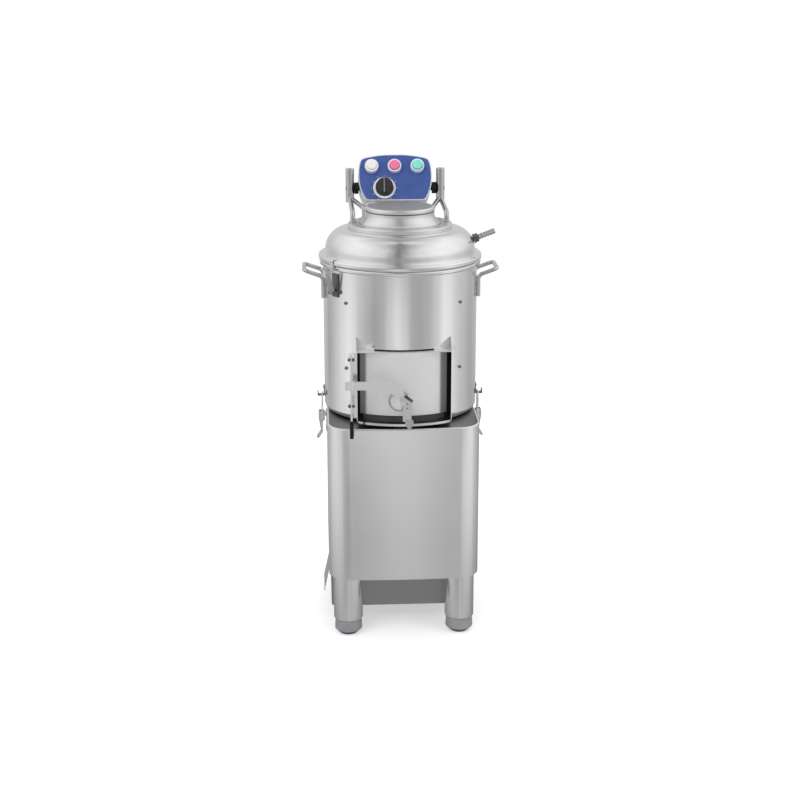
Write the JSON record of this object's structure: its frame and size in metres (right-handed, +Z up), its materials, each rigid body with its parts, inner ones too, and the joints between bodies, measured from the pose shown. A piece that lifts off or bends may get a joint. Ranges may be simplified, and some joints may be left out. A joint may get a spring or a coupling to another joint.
{
  "type": "electric potato peeler",
  "caption": "Free-standing potato peeling machine: a steel drum with an abrasive disc on a square stand, with a hinged dome lid, an outlet door and a control head.",
  "frame": {"origin": "middle of the whole machine's footprint box, on the floor under the feet", "axes": "+Z up, the outlet door and the control panel face -Y, +X to the right as seen from the front"},
  "size_m": [0.4578, 0.4848, 1.0866],
  "materials": {
    "polished_steel": "bright stainless steel with a fine vertical grain",
    "satin_steel": "satin stainless steel sheet",
    "tube_steel": "smooth stainless steel tube and bar",
    "machine_iron": "dark machined iron",
    "motor_paint": "satin machine paint",
    "grit_disc": "cast aluminium under a coarse abrasive coat",
    "grit_coat": "coarse abrasive coat on a sheet sleeve",
    "grey_foot": "grey foot with a darker sole",
    "black_rubber": "drive belt",
    "black_plastic": "matte black plastic",
    "white_plastic": "white glossy plastic",
    "light_plastic": "light grey moulded housing",
    "blue_panel": "blue panel film on a plate",
    "red_plastic": "pink-red translucent cap",
    "green_plastic": "mint-green translucent cap"
  },
  "bodies": {
    "machine": {"stand_body": "satin_steel", "stand_top": "satin_steel", "leg_front_left": "tube_steel", "leg_front_right": "tube_steel", "leg_rear_left": "tube_steel", "leg_rear_right": "tube_steel", "tray_rail_front": "satin_steel", "tray_rail_rear": "satin_steel", "drum_shell": "polished_steel", "drum_floor": "polished_steel", "wall_liner": "grit_coat", "drain_pipe": "polished_steel", "bearing_housing": "machine_iron", "motor": "motor_paint", "drive_belt": "black_rubber", "chute_frame": "polished_steel", "hinge_rod": "polished_steel", "rod_grip": "black_plastic", "carry_handle_left": "polished_steel", "carry_handle_right": "polished_steel", "latch_base": "polished_steel", "clamp_strike_left": "polished_steel", "clamp_strike_right": "polished_steel", "clamp_base_left": "satin_steel", "clamp_base_right": "satin_steel", "control_column": "satin_steel", "control_box": "light_plastic", "control_panel": "blue_panel", "dial_ring": "white_plastic", "pilot_lamp": "white_plastic", "stop_bezel": "white_plastic", "start_bezel": "white_plastic", "pivot_bush_left": "black_plastic", "pivot_bush_right": "black_plastic", "cable_gland": "black_plastic"},
    "foot_fl": {"foot_front_left": "grey_foot"},
    "foot_fr": {"foot_front_right": "grey_foot"},
    "foot_rl": {"foot_rear_left": "grey_foot"},
    "foot_rr": {"foot_rear_right": "grey_foot"},
    "tray": {"waste_tray": "satin_steel"},
    "disc": {"drive_shaft": "machine_iron", "abrasive_disc": "grit_disc"},
    "motor_rotor": {"motor_pulley": "machine_iron"},
    "door": {"outlet_door": "polished_steel", "door_strap": "polished_steel"},
    "handle": {"door_handle": "polished_steel"},
    "lid": {"lid_dome": "polished_steel", "lid_crown": "satin_steel", "inlet_nipple": "tube_steel", "lid_arm_left": "tube_steel", "lid_arm_right": "tube_steel", "latch_strip": "polished_steel"},
    "latch": {"latch_lever": "satin_steel"},
    "lever_left": {"clamp_lever_left": "satin_steel"},
    "lever_right": {"clamp_lever_right": "satin_steel"},
    "bail_left": {"clamp_bail_left": "polished_steel"},
    "bail_right": {"clamp_bail_right": "polished_steel"},
    "knob": {"timer_knob": "black_plastic"},
    "stop": {"stop_button": "red_plastic"},
    "start": {"start_button": "green_plastic"}
  },
  "joints": [
    {"name": "foot_slide_front_left", "type": "slide", "parent": "machine", "child": "foot_fl", "axis": [0, 0, -1], "range_m": [0, 0.015]},
    {"name": "foot_slide_front_right", "type": "slide", "parent": "machine", "child": "foot_fr", "axis": [0, 0, -1], "range_m": [0, 0.015]},
    {"name": "foot_slide_rear_left", "type": "slide", "parent": "machine", "child": "foot_rl", "axis": [0, 0, -1], "range_m": [0, 0.015]},
    {"name": "foot_slide_rear_right", "type": "slide", "parent": "machine", "child": "foot_rr", "axis": [0, 0, -1], "range_m": [0, 0.015]},
    {"name": "tray_slide", "type": "slide", "parent": "machine", "child": "tray", "axis": [-1, 0, 0], "range_m": [0, 0.3]},
    {"name": "disc_spin", "type": "hinge", "parent": "machine", "child": "disc", "pos_m": [0, -0.0196, 0.5136], "axis": [0, 0, 1], "continuous": true},
    {"name": "motor_spin", "type": "hinge", "parent": "machine", "child": "motor_rotor", "pos_m": [0, 0.1254, 0.41], "axis": [0, 0, 1], "continuous": true},
    {"name": "door_swing", "type": "hinge", "parent": "machine", "child": "door", "pos_m": [-0.1207, -0.2296, 0.618], "axis": [0, 0, -1], "range_deg": [0, 120]},
    {"name": "handle_turn", "type": "hinge", "parent": "door", "child": "handle", "pos_m": [-0.003, -0.2344, 0.573], "axis": [0, -1, 0], "range_deg": [-12, 90]},
    {"name": "lid_swing", "type": "hinge", "parent": "machine", "child": "lid", "pos_m": [0, 0.1954, 1.001], "axis": [-1, 0, 0], "range_deg": [0, 112]},
    {"name": "latch_turn", "type": "hinge", "parent": "machine", "child": "latch", "pos_m": [-0.16067, -0.12196, 0.8065], "axis": [0.5373, -0.8434, 0], "range_deg": [-5, 80]},
    {"name": "clamp_turn_left", "type": "hinge", "parent": "machine", "child": "lever_left", "pos_m": [-0.188, -0.0196, 0.489], "axis": [0, 1, 0], "range_deg": [0, 100]},
    {"name": "bail_turn_left", "type": "hinge", "parent": "lever_left", "child": "bail_left", "pos_m": [-0.1868, -0.0196, 0.477], "axis": [0, 1, 0], "range_deg": [-90, 0]},
    {"name": "clamp_turn_right", "type": "hinge", "parent": "machine", "child": "lever_right", "pos_m": [0.188, -0.0196, 0.489], "axis": [0, -1, 0], "range_deg": [0, 100]},
    {"name": "bail_turn_right", "type": "hinge", "parent": "lever_right", "child": "bail_right", "pos_m": [0.1868, -0.0196, 0.477], "axis": [0, -1, 0], "range_deg": [-90, 0]},
    {"name": "knob_turn", "type": "hinge", "parent": "machine", "child": "knob", "pos_m": [-0.027, 0.17573, 1.00464], "axis": [0, 0.8813, -0.4726], "range_deg": [0, 300]},
    {"name": "stop_press", "type": "slide", "parent": "machine", "child": "stop", "axis": [0, 0.8813, -0.4726], "range_m": [0, 0.004], "stiffness_N_per_m": 500, "springref_m": -0.002},
    {"name": "start_press", "type": "slide", "parent": "machine", "child": "start", "axis": [0, 0.8813, -0.4726], "range_m": [0, 0.004], "stiffness_N_per_m": 500, "springref_m": -0.002}
  ],
  "couplings": [
    {"joint": "motor_spin", "follows": "disc_spin", "ratio": 3.4576},
    {"joint": "bail_turn_left", "follows": "clamp_turn_left", "ratio": -0.9},
    {"joint": "bail_turn_right", "follows": "clamp_turn_right", "ratio": -0.9}
  ]
}
